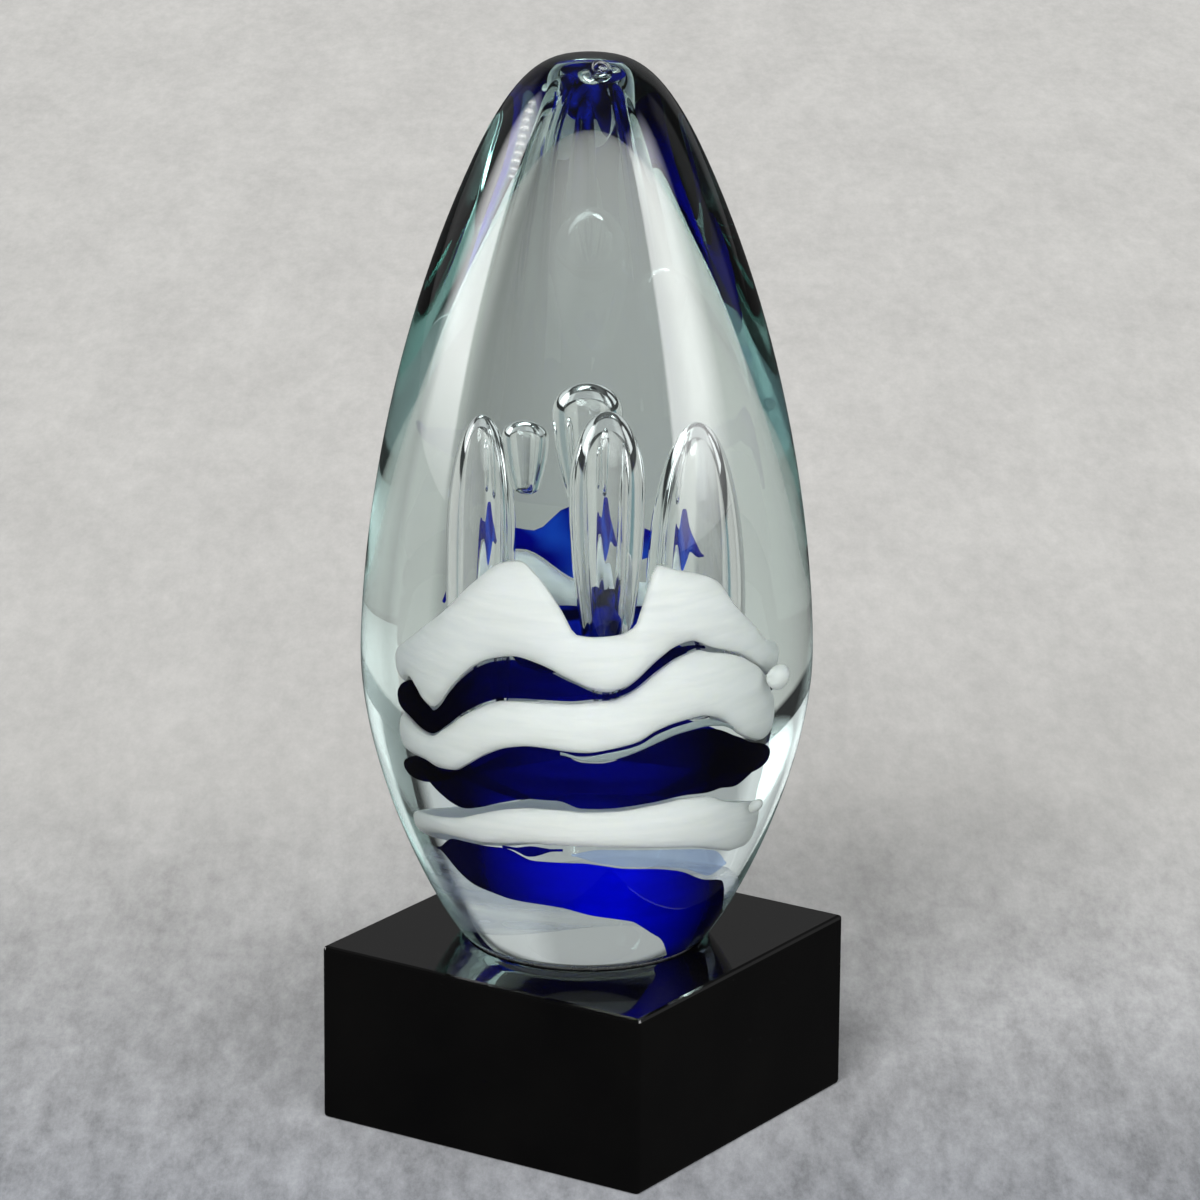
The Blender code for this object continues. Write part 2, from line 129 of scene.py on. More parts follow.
WHITE_MIDDLE_LOW = (
    (-84, 44.2), (-72, 43.5), (-62, 43.9), (-55, 45.4), (-44, 48.3),
    (-33, 50.4), (-22, 51.2), (0, 50.4), (10, 51.1), (21, 52.2),
    (29, 54.1), (38, 55.1), (49, 55.5), (60, 54.2), (74, 50.3),
    (86, 48.2), (100, 47.0), (125, 46.5), (150, 49.0), (175, 51.5),
    (200, 49.5), (225, 44.5), (250, 44.0),
)
BLUE_MIDDLE_TOP = (
    (-84, 44.0), (-60, 44.2), (-22, 51.2), (-9, 50.2), (-2, 48.8),
    (6, 48.6), (13, 49.2), (21, 50.4), (29, 51.8), (38, 53.0),
    (50, 53.4), (60, 52.5), (70, 50.6), (80, 49.0), (95, 47.0),
    (125, 45.1), (150, 47.6), (175, 50.1), (200, 48.1), (225, 43.1),
    (250, 42.8),
)
BLUE_MIDDLE_LOW = (
    (-86, 41.7), (-78, 39.0), (-66, 36.7), (-60, 36.2), (-50, 37.1),
    (-37, 39.0), (-23, 40.4), (-12, 40.4), (-2, 38.9), (6, 38.8),
    (28, 39.5), (45, 40.2), (58, 39.9), (66, 40.2), (76, 39.8),
    (86, 40.8), (100, 42.7), (130, 40.0), (160, 41.0), (180, 42.0),
    (205, 40.0), (230, 38.0), (250, 39.5),
)
WHITE_LOWER_TOP = (
    (-90, 32.8), (-63, 34.1), (-50, 35.9), (-37, 37.7), (-23, 38.7),
    (-10, 38.7), (0, 38.4), (14, 38.5), (31, 39.4), (45, 40.0),
    (56, 39.6), (70, 37.6), (83, 36.3), (125, 35.0), (180, 36.5),
    (205, 34.5), (250, 32.5),
)
WHITE_LOWER_LOW = (
    (-73, 29.4), (-50, 29.4), (-39, 29.9), (-20, 30.7), (6, 30.4),
    (34, 29.5), (56, 28.3), (70, 27.0), (91, 25.5), (120, 25.5),
    (150, 27.0), (180, 28.0), (205, 26.5), (250, 28.0),
)
BLUE_LOWER_TOP = (
    (-84, 27.0), (-74, 29.0), (-50, 29.0), (-39, 29.2), (-24, 27.0),
    (-2, 27.0), (7, 26.5), (18, 25.6), (35, 24.9), (46, 24.0),
    (53, 23.1), (60, 21.8), (68, 20.6), (86, 19.3), (104, 14.0),
)
BLUE_LOWER_LOW = (
    (-84, 24.5), (-75, 21.8), (-62, 18.9), (-50, 17.8), (-38, 16.9),
    (-22, 16.5), (-12, 16.0), (3, 14.3), (18, 13.1), (26, 12.3),
    (32, 10.8), (39, 8.9), (46, 7.2), (62, 1.0), (90, 1.0),
    (104, 6.0),
)
WHITE_REAR_TOP = (
    (112, 14.0), (135, 22.0), (170, 25.0), (210, 22.0), (245, 26.0),
    (268, 22.5),
)
WHITE_REAR_LOW = (
    (112, 9.0), (135, 8.0), (170, 10.5), (210, 8.0), (245, 14.0),
    (268, 20.0),
)
BLUE_CROWN_TOP = (
    (146, 79.5), (160, 82.0), (168, 84.5), (176, 88.6), (184, 88.6), (192, 83.6),
    (200, 84.6), (208, 82.0),
)
BLUE_CROWN_LOW = ((146, 77.0), (165, 78.4), (172, 76.0), (181, 73.5), (197, 79.5), (208, 78.0))

# Tongue of blue that runs on over the lower blue band, at its front left
BLUE_TONGUE_TOP = ((-40, 29.3), (-25, 30.2), (-9, 30.0))
BLUE_TONGUE_LOW = ((-40, 28.9), (-28, 27.6), (-9, 29.6))

# Tail that the crown trails down the top of the first white band, at the rear left
BLUE_TAIL_TOP = ((194, 84.5), (200, 86.0), (205, 85.0), (210, 78.0), (216, 69.0))
BLUE_TAIL_LOW = ((194, 80.0), (203, 78.0), (216, 66.5))

# Blue glass inside the core: bearing and reach between the bubbles, in chart units
INNER_BLUE_REACH = (
    (-30, 20.0), (10, 9.0), (51, 19.5), (88, 5.6), (134, 21.0),
    (190, 20.0), (245, 21.0), (286, 9.0),
)
INNER_BLUE_HEIGHT = 0.068
INNER_BLUE_THICKNESS = 0.008
INNER_BLUE_SIDES = 96
INNER_BLUE_STEPS = 12
INNER_BLUE_LUMP = 0.25
INNER_BLUE_LUMPS = 5
INNER_BLUE_LUMP_TWIST = 5
INNER_BLUE_SWELL = 0.0016
INNER_BLUE_SWELLS = 3
INNER_BLUE_SWELL_TWIST = 9

# White knobs and seed bubbles: bearing, then in chart units the reach from the egg's axis,
# the height and the radius
WHITE_KNOBS = ((88.0, 29.0, 58.8, 2.3), (88.0, 25.3, 34.4, 1.4))
WHITE_KNOB_SIDES = 24
WHITE_KNOB_RINGS = 16
SEEDS = (
    (-102, 8.6, 175.4, 0.65), (-102, 8.9, 173.6, 0.80), (-103, 9.2, 171.9, 0.60),
    (-101, 9.4, 170.4, 0.75), (-102, 9.7, 168.7, 0.70), (-103, 9.9, 167.0, 0.80),
    (-102, 10.2, 165.3, 0.70), (-102, 10.5, 163.7, 0.75), (-101, 10.8, 162.1, 0.60),
    (-102, 11.1, 160.6, 0.50), (90, 1.6, 182.0, 1.9),
)
SEED_SIDES = 16
SEED_RINGS = 10

# Where the open bands and wisps start and end
FULL_TURN = (0, 360)
OPEN_BAND_SPANS = {
    "white_band_rear": (112, 268),
    "blue_band_crown": (144, 208),
    "blue_band_upper": (104, 408),
    "blue_band_lower": (-84, 104),
}
BLUE_TONGUE_SPAN = (-38, -10)
BLUE_TAIL_SPAN = (194, 214)
BLUE_VEIL_SPAN = (-6, 80)
# Span of the grey sheet of painted shade under the second white band
SHADED_GAP_SPAN = (-10, 66)
VEIL_DEPTH = 0.0010
TAIL_DEPTH = 0.0012

# Camera
CAMERA_AZIMUTH = 33.5
CAMERA_ELEVATION = 19.387
CAMERA_DISTANCE = 1.3265
CAMERA_LENS = 186.57
CAMERA_TILT = 3.038
CAMERA_PAN = 0.119
CAMERA_ROLL = 0.408

# Colours of the glass, the adhesive and the block, as linear light
CRYSTAL_GREEN = (0.05, 0.42, 0.37, 1.0)
GLUED_BLACK = (0.002, 0.002, 0.003)
GLUED_CLOUDY = (0.05, 0.06, 0.06)
OPAL_WARM = (0.985, 0.96, 0.93)
OPAL_GREY = (0.90, 0.89, 0.87)
OPAL_VEIL_BLUISH = (0.80, 0.87, 1.0)
OPAL_VEIL_PALE = (0.92, 0.95, 1.0)
# Painted shade for the gap under the second white band
LIP_SHADE_DARK = (0.30, 0.35, 0.36)
LIP_SHADE_PALE = (0.42, 0.48, 0.48)
# Darkest cobalt, also the painted shade at the ends of the blue bands
COBALT_NIGHT = (0.0, 0.0, 0.01)
COBALT_DEEP = (0.004, 0.008, 0.46)
COBALT_BRIGHT = (0.0, 0.003, 0.98)
COBALT_BODY = (0.01, 0.02, 0.86, 1.0)
CROWN_DEEP = (0.0, 0.002, 0.42)
CROWN_PALE = (0.02, 0.14, 0.95)
COBALT_VEIL_BLUE = (0.50, 0.62, 0.92)
COBALT_VEIL_PALE = (0.75, 0.85, 1.0)
INNER_BLUE_DARK = (0.0, 0.0008, 0.03)
INNER_BLUE_BRIGHT = (0.003, 0.015, 0.50)
BLOCK_BLACK = (0.0010, 0.0010, 0.0011)
BLOCK_WORN = (0.0022, 0.0021, 0.0020)
ADHESIVE_CLOUDY = (0.75, 0.80, 0.78)
ADHESIVE_CLEAR = (0.92, 0.94, 0.93)

# Bending of light, where a band set in the glass bends none, and density of the body colours
CRYSTAL_IOR = 1.5
ADHESIVE_IOR = 1.47
SET_IN_GLASS_IOR = 1.0
CRYSTAL_DENSITY = 4.0
COBALT_DENSITY = 1300.0

# Painted shade of the bright blue band: bearings over which it darkens towards its ends, and
# the brightness left there
BRIGHT_BLUE_LEFT_FADE = (-55.0, 2.0)
BRIGHT_BLUE_RIGHT_FADE = (20.0, 78.0)
BRIGHT_BLUE_END = 0.03

# Painted shade of the deep blue bands at the egg's left and right: brightness by the square
# of the bearing's cosine, and the least of it
DEEP_BLUE_FACING = (0.30, 1.0)
DEEP_BLUE_SIDE = 0.05

# Felt floor and backdrop, as linear light, and the felt's depth from grey to pale, the grey a
# painted shade
BACKDROP_PALE = (0.61, 0.60, 0.575)
FLOOR_PALE = (0.455, 0.449, 0.434)
FLOOR_FRONT_SHADE = (0.198, 0.210, 0.236)
FLOOR_SIZE = 16.0
FLOOR_SQUARES = 8
FELT_DEPTH = (-0.13, 0.22)
FELT_STRETCH = 0.30
FLECK_CONTRAST = 2.0
PALE_FELT_GRAIN = 0.25

# Light of the room, in degrees right of straight ahead and up: lamps, with the angles from
# the middle of each where it is full and where it ends
KEY_AIM = (-158, 36)
KEY_SPREAD = (11, 16)
KEY_STRENGTH = 17.5
FILL_AIM = (158, 26)
FILL_SPREAD = (16, 34)
FILL_STRENGTH = 5.0

# Boxes of light and pale walls: bearings, then sines of elevation, where each edge fades
RIGHT_BOX = (90, 106, 129, 131)
LEFT_BOX = (-98, -96, -75, -63)
BOX_HEIGHTS = (-0.05, 0.15, 0.55, 0.70)
BOX_STRENGTH = 3.0
WALLS = (
    ((-78, -70, -40, -34), 0.85), ((-40, -34, 8, 16), 0.45), ((8, 16, 36, 42), 0.65),
    ((56, 60, 72, 80), 0.90),
)
WALL_HEIGHTS = (-0.05, 0.0, 0.50, 0.60)
CEILING_HEIGHTS = (0.60, 0.90)
CEILING_STRENGTH = 0.1
ROOM_GLOW = 0.04

# What polished faces show of it: strength of the boxes, and shares of the lamps and the walls
MIRRORED_BOX_STRENGTH = 8.0
MIRRORED_LAMP_SHARE = 0.04
MIRRORED_WALL_SHARE = 0.25

# Floor as the glass shows it, with painted shadows of the egg and block: shade by degrees right
# of straight ahead, then how far to either side it turns to painted dark, as it is for polished
# faces
FLOOR_PAINTED_SHADOWS = (
    (-180, (0.52, 0.515, 0.49)), (-108, (0.46, 0.455, 0.435)), (-100, (0.30, 0.33, 0.33)),
    (-80, (0.30, 0.33, 0.33)), (-72, (0.46, 0.455, 0.435)), (-21, (0.54, 0.535, 0.51)),
    (-17, (0.36, 0.36, 0.35)), (5, (0.34, 0.34, 0.33)), (23, (0.27, 0.27, 0.26)),
    (28, (0.52, 0.515, 0.49)), (40, (0.50, 0.495, 0.475)), (45, (0.38, 0.375, 0.36)),
    (52, (0.46, 0.455, 0.435)), (72, (0.46, 0.455, 0.435)), (78, (0.16, 0.24, 0.26)),
    (100, (0.16, 0.24, 0.26)), (108, (0.46, 0.455, 0.435)), (180, (0.52, 0.515, 0.49)),
)
FLOOR_SIDES = (0.60, 0.75)
FLOOR_PAINTED_DARK = (0.03, 0.03, 0.03)

SMOOTH_ANGLE = radians(35)
MERGE_DISTANCE = 0.000001
GLASS_BOUNCES = 32
POLISH_BOUNCES = 16


def turned(profile, sides):
    """Turn a profile of (radius, height) points that starts and ends on the axis."""
    bm = bmesh.new()
    verts = [bm.verts.new((radius, 0.0, height)) for radius, height in profile]
    edges = [bm.edges.new(pair) for pair in zip(verts, verts[1:])]
    bmesh.ops.spin(bm, geom=verts + edges, cent=(0, 0, 0), axis=(0, 0, 1),
                   angle=2 * pi, steps=sides, use_merge=True)
    bmesh.ops.remove_doubles(bm, verts=bm.verts, dist=MERGE_DISTANCE)
    bmesh.ops.recalc_face_normals(bm, faces=bm.faces)
    return bm


def add_piece(name, bm, material, nodes=()):
    """Turn a bmesh into a finished piece that stands for the named CAD nodes."""
    mesh = bpy.data.meshes.new(name)
    bm.to_mesh(mesh)
    bm.free()
    mesh.shade_smooth()
    mesh.set_sharp_from_angle(angle=SMOOTH_ANGLE)
    mesh.materials.append(material)
    piece = bpy.data.objects.new(name, mesh)
    bpy.context.scene.collection.objects.link(piece)
    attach(piece, "root")
    if nodes:
        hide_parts(*nodes)
    return piece


def dress(node, material):
    """Give a carried-over CAD node its material."""
    node.data.materials.clear()
    node.data.materials.append(material)


def join(bm, other):
    """Add a second bmesh to the first."""
    mesh = bpy.data.meshes.new("joined")
    other.to_mesh(mesh)
    other.free()
    bm.from_mesh(mesh)
    bpy.data.meshes.remove(mesh)


def bezier(start, first, second, end, share):
    """Point on a cubic curve."""
    rest = 1.0 - share
    return (rest ** 3 * start + 3 * rest ** 2 * share * first
            + 3 * rest * share ** 2 * second + share ** 3 * end)


def stretch(start, first, second, end, steps):
    """Points along a cubic curve, without its last one."""
    return [bezier(start, first, second, end, step / steps) for step in range(steps)]


def egg_outline():
    """Outline of the egg from the edge of its foot to its tip."""
    foot = Vector((FOOT_RADIUS, 0.0))
    belly = Vector((BELLY_RADIUS, BELLY_HEIGHT))
    shoulder = Vector((BELLY_RADIUS - SHOULDER_INSET, EGG_HEIGHT - SHOULDER_DROP))
    tip = Vector((0.0, EGG_HEIGHT))
    flare = Vector((cos(FOOT_FLARE), sin(FOOT_FLARE)))
    lean = Vector((-sin(SHOULDER_LEAN), cos(SHOULDER_LEAN)))
    foot_pull = foot + flare * FOOT_PULL
    shoulder_pull = shoulder - lean * SHOULDER_PULL_DOWN
    bend = 2.0 / 3.0 * BELLY_BEND_RADIUS
    below = belly - Vector((0.0, sqrt(bend * (BELLY_RADIUS - foot_pull.x))))
    above = belly + Vector((0.0, sqrt(bend * (BELLY_RADIUS - shoulder_pull.x))))
    crown_pull = shoulder + lean * SHOULDER_PULL_UP
    tip_pull = tip + Vector((TIP_PULL, 0.0))
    lower = stretch(foot, foot_pull, below, belly, EGG_LOWER_STEPS)
    upper = stretch(belly, above, shoulder_pull, shoulder, EGG_UPPER_STEPS)
    crown = stretch(shoulder, crown_pull, tip_pull, tip, EGG_CROWN_STEPS)
    return [tuple(point) for point in [*lower, *upper, *crown, tip]]


def bubble_outline(tail, radius, rise, dome, pit):
    """Outline of a bubble from its rounded lower end in the core to its domed top."""
    top = CORE_HEIGHT + rise
    widest = top - dome
    bottom = CORE_HEIGHT - pit
    end = radius * tail
    points = [(0.0, bottom)]
    for step in range(1, BUBBLE_END_STEPS):
        turn = step / BUBBLE_END_STEPS * pi / 2
        points.append((end * sin(turn), bottom + end * (1 - cos(turn))))
    start = bottom + end
    for step in range(BUBBLE_TAIL_STEPS):
        share = step / BUBBLE_TAIL_STEPS
        width = radius * (tail + (1 - tail) * sin(share * pi / 2))
        points.append((width, start + (widest - start) * share))
    for step in range(BUBBLE_DOME_STEPS):
        turn = step / BUBBLE_DOME_STEPS * pi / 2
        points.append((radius * cos(turn), widest + dome * sin(turn)))
    points.append((0.0, top))
    return points


def make_bubble(bearing, tail, *sizes):
    """One air bubble, its faces turned to the air inside."""
    wall, radius, rise, dome, pit = [size * CHART_UNIT for size in sizes]
    bm = turned(bubble_outline(tail, radius, rise, dome, pit), BUBBLE_SIDES)
    turn = Matrix.Rotation(radians(bearing + FRONT_BEARING), 4, "Z")
    place = Matrix.Translation((BUBBLE_BED - wall - radius, 0.0, 0.0))
    bmesh.ops.transform(bm, matrix=turn @ place, verts=bm.verts)
    bmesh.ops.reverse_faces(bm, faces=bm.faces)
    return bm


def add_ball(bm, place, sides, rings):
    """Add a small ball at (bearing, reach, height, radius), its height from the egg's foot."""
    bearing, *sizes = place
    reach, height, radius = [size * CHART_UNIT for size in sizes]
    turn = radians(bearing + FRONT_BEARING)
    middle = Matrix.Translation((reach * cos(turn), reach * sin(turn), height))
    bmesh.ops.create_uvsphere(bm, u_segments=sides, v_segments=rings, radius=radius,
                              matrix=middle)


def make_seeds():
    """Tiny round bubbles, their faces turned to the air inside."""
    bm = bmesh.new()
    for seed in SEEDS:
        add_ball(bm, seed, SEED_SIDES, SEED_RINGS)
    bmesh.ops.reverse_faces(bm, faces=bm.faces)
    return bm


def make_glass(material, glued):
    """Casing and core fused into one body of glass, with the bubbles in it, glued at the foot."""
    (foot_x, _), *outline = egg_outline()
    bm = turned([(0.0, 0.0), (foot_x - FOOT_ARRIS, 0.0), (foot_x, FOOT_ARRIS), *outline],
                EGG_SIDES)
    for face in bm.faces:
        if face.calc_center_median().z < MERGE_DISTANCE:
            face.material_index = 1
    for bubble in BUBBLES:
        join(bm, make_bubble(*bubble))
    join(bm, make_seeds())
    bmesh.ops.translate(bm, vec=(0.0, 0.0, FOOT_LEVEL + FOOT_GAP), verts=bm.verts)
    body = add_piece("glass_body", bm, material, ("clear_casing", "clear_core"))
    body.data.materials.append(glued)
    return body


def core_radius(height):
    """Radius of the core's side, which the bands are flush with."""
    climb = min(max(height / CORE_FULL_HEIGHT, 0.0), 1.0)
    return CORE_FOOT_RADIUS + (CORE_RADIUS - CORE_FOOT_RADIUS) * sin(climb * pi / 2)


def wave(stations):
    """Smooth closed curve of height against bearing that turns back only at its stations."""
    bearings = [bearing for bearing, _ in stations]
    heights = [height * CHART_UNIT for _, height in stations]
    count = len(stations)
    spans = [(bearings[(i + 1) % count] - bearings[i]) % 360 for i in range(count)]
    slopes = [(heights[(i + 1) % count] - heights[i]) / spans[i] for i in range(count)]
    tangents = []
    for i in range(count):
        before, after = slopes[i - 1], slopes[i]
        level = before * after <= 0
        tangents.append(0.0 if level else 2 * before * after / (before + after))

    def height_at(bearing):
        index = min(range(count), key=lambda i: (bearing - bearings[i]) % 360)
        following = (index + 1) % count
        span = spans[index]
        share = (bearing - bearings[index]) % 360 / span
        pull = span / 3
        return bezier(heights[index], heights[index] + tangents[index] * pull,
                      heights[following] - tangents[following] * pull,
                      heights[following], share)

    return height_at


def seam_above(edge):
    """Edge that runs a seam above another."""
    return lambda bearing: edge(bearing) + BAND_SEAM


def seam_below(edge):
    """Edge that runs a seam below another."""
    return lambda bearing: edge(bearing) - BAND_SEAM


def kept_below(edge, neighbour):
    """Edge that stays a seam below the neighbour's lower edge."""
    limit = seam_below(neighbour)
    return lambda bearing: min(edge(bearing), limit(bearing))


def kept_above(edge, neighbour):
    """Edge that stays a seam above the neighbour's upper edge."""
    limit = seam_above(neighbour)
    return lambda bearing: max(edge(bearing), limit(bearing))


def tip_share(bearing, span):
    """Share of its full size that an open band has at a bearing: small at its tips."""
    if span == FULL_TURN:
        return 1.0
    reach = min(bearing - span[0], span[1] - bearing) / BAND_TIP_BEARING
    return sin(min(max(reach, 0.0), 1.0) * pi / 2)


def rounded(side, power):
    """Share from -1 to 1 that makes a round section fuller or more pinched by its power."""
    return abs(side) ** power * (1 if side > 0 else -1)


def band_section(power):
    """Rounded section of a band: (inward, upward) shares, narrower towards the core's axis."""
    points = []
    for step in range(SECTION_POINTS):
        turn = step / SECTION_POINTS * 2 * pi
        inward = 0.5 - 0.5 * rounded(cos(turn), power)
        taper = 1.0 - SECTION_TAPER * max(inward - SECTION_TAPER_START, 0.0)
        points.append((inward, 0.5 + 0.5 * rounded(sin(turn), SECTION_HEIGHT_POWER) * taper))
    return points


def band_form(edges, depth, span, power=WHITE_SECTION_POWER):
    """Sweep the band's section round the core between two edges."""
    low_edge, top_edge = edges
    steps = round((span[1] - span[0]) / BAND_STATION)
    closed = span == FULL_TURN
    bm = bmesh.new()
    verts = [bm.verts.new((SECTION_RADIUS - inward, 0.0, upward))
             for inward, upward in band_section(power)]
    ring = [bm.edges.new((verts[i - 1], verts[i])) for i in range(len(verts))]
    bmesh.ops.spin(bm, geom=verts + ring, cent=(0, 0, 0), axis=(0, 0, 1),
                   angle=radians(span[1] - span[0]), steps=steps, use_merge=closed)
    if not closed:
        bmesh.ops.holes_fill(bm, edges=[edge for edge in bm.edges if edge.is_boundary])
    for vert in bm.verts:
        inward = SECTION_RADIUS - hypot(vert.co.x, vert.co.y)
        upward = vert.co.z
        bearing = span[0] + degrees(atan2(vert.co.y, vert.co.x)) % 360
        if bearing > span[1] + BAND_STATION / 2:
            bearing = span[0]
        share = tip_share(bearing, span)
        low, top = low_edge(bearing), top_edge(bearing)
        half = max((top - low) / 2 * share, BAND_TIP_HEIGHT / 2)
        height = (low + top) / 2 + (2 * upward - 1) * half
        sink = depth * (BAND_TIP_DEPTH_SHARE + (1 - BAND_TIP_DEPTH_SHARE) * share)
        radius = core_radius(height) - inward * sink
        turn = radians(bearing + FRONT_BEARING)
        vert.co = (radius * cos(turn), radius * sin(turn), height + FOOT_LEVEL)
    bmesh.ops.recalc_face_normals(bm, faces=bm.faces)
    return bm


def band_edges():
    """Lower and upper edge of every band, each kept a seam off its neighbour."""
    white_upper = wave(WHITE_UPPER_LOW), wave(WHITE_UPPER_TOP)
    white_middle = wave(WHITE_MIDDLE_LOW), kept_below(wave(WHITE_MIDDLE_TOP), white_upper[0])
    blue_middle = wave(BLUE_MIDDLE_LOW), kept_below(wave(BLUE_MIDDLE_TOP), white_middle[0])
    white_lower = wave(WHITE_LOWER_LOW), kept_below(wave(WHITE_LOWER_TOP), blue_middle[0])
    blue_lower = wave(BLUE_LOWER_LOW), kept_below(wave(BLUE_LOWER_TOP), white_lower[0])
    white_rear = wave(WHITE_REAR_LOW), kept_below(wave(WHITE_REAR_TOP), white_lower[0])
    blue_upper = seam_above(white_middle[1]), seam_below(white_upper[0])
    blue_crown = kept_above(wave(BLUE_CROWN_LOW), white_upper[1]), wave(BLUE_CROWN_TOP)
    return {
        "white_band_upper": white_upper,
        "white_band_middle": white_middle,
        "white_band_lower": white_lower,
        "white_band_rear": white_rear,
        "blue_band_crown": blue_crown,
        "blue_band_upper": blue_upper,
        "blue_band_middle": blue_middle,
        "blue_band_lower": blue_lower,
    }


def make_bands(bands, white, veil, bright_blue, deep_blue, crown_blue):
    """The coloured bands, each in the place of its CAD node."""
    glasses = {"white_band_rear": veil, "blue_band_lower": bright_blue,
               "blue_band_crown": crown_blue}
    for node, edges in bands.items():
        span = OPEN_BAND_SPANS.get(node, FULL_TURN)
        pale = node.startswith("white")
        depth = WHITE_DEPTH if pale else BLUE_DEPTH
        power = WHITE_SECTION_POWER if pale else BLUE_SECTION_POWER
        glass = glasses.get(node, white if pale else deep_blue)
        add_piece(node.replace("band", "ribbon"), band_form(edges, depth, span, power), glass,
                  (node,))


def make_blue_tongue(bands, glass):
    """Tongue of blue over the lower blue band, too fine to be a solid of its own."""
    edges = (kept_above(wave(BLUE_TONGUE_LOW), bands["blue_band_lower"][1]),
             kept_below(wave(BLUE_TONGUE_TOP), bands["white_band_lower"][0]))
    return add_piece("blue_tongue", band_form(edges, BLUE_DEPTH, BLUE_TONGUE_SPAN), glass)


def make_crown_tail(bands, glass):
    """Thin tail of the blue crown along the top of the first white band."""
    edges = (kept_above(wave(BLUE_TAIL_LOW), bands["white_band_upper"][1]),
             wave(BLUE_TAIL_TOP))
    return add_piece("blue_crown_tail", band_form(edges, TAIL_DEPTH, BLUE_TAIL_SPAN), glass)


def make_blue_veil(bands, glass):
    """Veil of pale blue between the lower blue band and the white band over it."""
    edges = seam_above(bands["blue_band_lower"][1]), seam_below(bands["white_band_lower"][0])
    return add_piece("blue_veil", band_form(edges, VEIL_DEPTH, BLUE_VEIL_SPAN), glass)


def make_white_lip(bands, glass):
    """Grey sheet of painted shade under the second white band, down to the dark blue one."""
    edges = seam_above(bands["blue_band_middle"][1]), seam_below(bands["white_band_middle"][0])
    return add_piece("white_lip", band_form(edges, VEIL_DEPTH, SHADED_GAP_SPAN), glass)


def make_white_knobs(glass):
    """Round white knobs at the right."""
    bm = bmesh.new()
    for end in WHITE_KNOBS:
        add_ball(bm, end, WHITE_KNOB_SIDES, WHITE_KNOB_RINGS)
    bmesh.ops.translate(bm, vec=(0.0, 0.0, FOOT_LEVEL), verts=bm.verts)
    return add_piece("round_white_knobs", bm, glass)


def make_inner_blue(glass):
    """Lumpy cobalt inside the core, which reaches out between the bubbles."""
    profile = [(sin(step / INNER_BLUE_STEPS * pi), -cos(step / INNER_BLUE_STEPS * pi))
               for step in range(INNER_BLUE_STEPS + 1)]
    bm = turned([(0.0, -1.0), *profile[1:-1], (0.0, 1.0)], INNER_BLUE_SIDES)
    reach = wave(INNER_BLUE_REACH)
    for vert in bm.verts:
        bearing = degrees(atan2(vert.co.y, vert.co.x))
        share = hypot(vert.co.x, vert.co.y)
        lumps = sin(radians(INNER_BLUE_LUMPS * bearing) + INNER_BLUE_LUMP_TWIST * share)
        swells = sin(radians(INNER_BLUE_SWELLS * bearing) + INNER_BLUE_SWELL_TWIST * share)
        lump = 1.0 + INNER_BLUE_LUMP * lumps * share
        rise = vert.co.z * INNER_BLUE_THICKNESS / 2 * lump
        height = INNER_BLUE_HEIGHT + rise + INNER_BLUE_SWELL * swells * share
        radius = share * reach(bearing)
        turn = radians(bearing + FRONT_BEARING)
        vert.co = (radius * cos(turn), radius * sin(turn), height + FOOT_LEVEL)
    return add_piece("inner_blue", bm, glass)


def new_material(name):
    """Empty node material and its output."""
    material = bpy.data.materials.new(name)
    material.use_nodes = True
    nodes = material.node_tree.nodes
    nodes.clear()
    return material, nodes, material.node_tree.links, nodes.new("ShaderNodeOutputMaterial")


def surface(nodes, links, output, values):
    """Principled shader with the given values, as the material's surface."""
    shader = nodes.new("ShaderNodeBsdfPrincipled")
    for socket, value in values.items():
        shader.inputs[socket].default_value = value
    links.new(shader.outputs["BSDF"], output.inputs["Surface"])
    return shader


def body_colour(nodes, links, output, colour, density):
    """Colour that the glass takes on by its thickness."""
    body = nodes.new("ShaderNodeVolumeAbsorption")
    body.inputs["Color"].default_value = colour
    body.inputs["Density"].default_value = density
    links.new(body.outputs["Volume"], output.inputs["Volume"])


def pattern(nodes, links, vector, scale, detail, roughness=0.5):
    """Noise at the places that a vector gives."""
    node = nodes.new("ShaderNodeTexNoise")
    node.inputs["Scale"].default_value = scale
    node.inputs["Detail"].default_value = detail
    node.inputs["Roughness"].default_value = roughness
    links.new(vector, node.inputs["Vector"])
    return node.outputs["Fac"]


def noise(nodes, links, scale, detail, stretch_by=(1.0, 1.0, 1.0)):
    """Noise on Object coordinates, stretched along the axes."""
    place = nodes.new("ShaderNodeTexCoord")
    mapping = nodes.new("ShaderNodeMapping")
    mapping.inputs["Scale"].default_value = stretch_by
    links.new(place.outputs["Object"], mapping.inputs["Vector"])
    return pattern(nodes, links, mapping.outputs["Vector"], scale, detail)


def mapped(nodes, links, value, source, target=(0.0, 1.0)):
    """Map a value from one range to another, and keep it there."""
    node = nodes.new("ShaderNodeMapRange")
    for socket, number in zip(("From Min", "From Max", "To Min", "To Max"), (*source, *target)):
        node.inputs[socket].default_value = number
    links.new(value, node.inputs["Value"])
    return node.outputs["Result"]


def blended(nodes, links, share, first, second):
    """Colour between two colours or sockets."""
    node = nodes.new("ShaderNodeMix")
    node.data_type = "RGBA"
    links.new(share, node.inputs["Factor"])
    for socket, colour in (("A", first), ("B", second)):
        target = [item for item in node.inputs if item.name == socket and item.type == "RGBA"][0]
        if isinstance(colour, tuple):
            target.default_value = (*colour, 1.0)
        else:
            links.new(colour, target)
    return [item for item in node.outputs if item.type == "RGBA"][0]


def bump(nodes, links, height, strength, distance):
    """Normal of a surface with fine relief."""
    node = nodes.new("ShaderNodeBump")
    node.inputs["Strength"].default_value = strength
    node.inputs["Distance"].default_value = distance
    links.new(height, node.inputs["Height"])
    return node.outputs["Normal"]


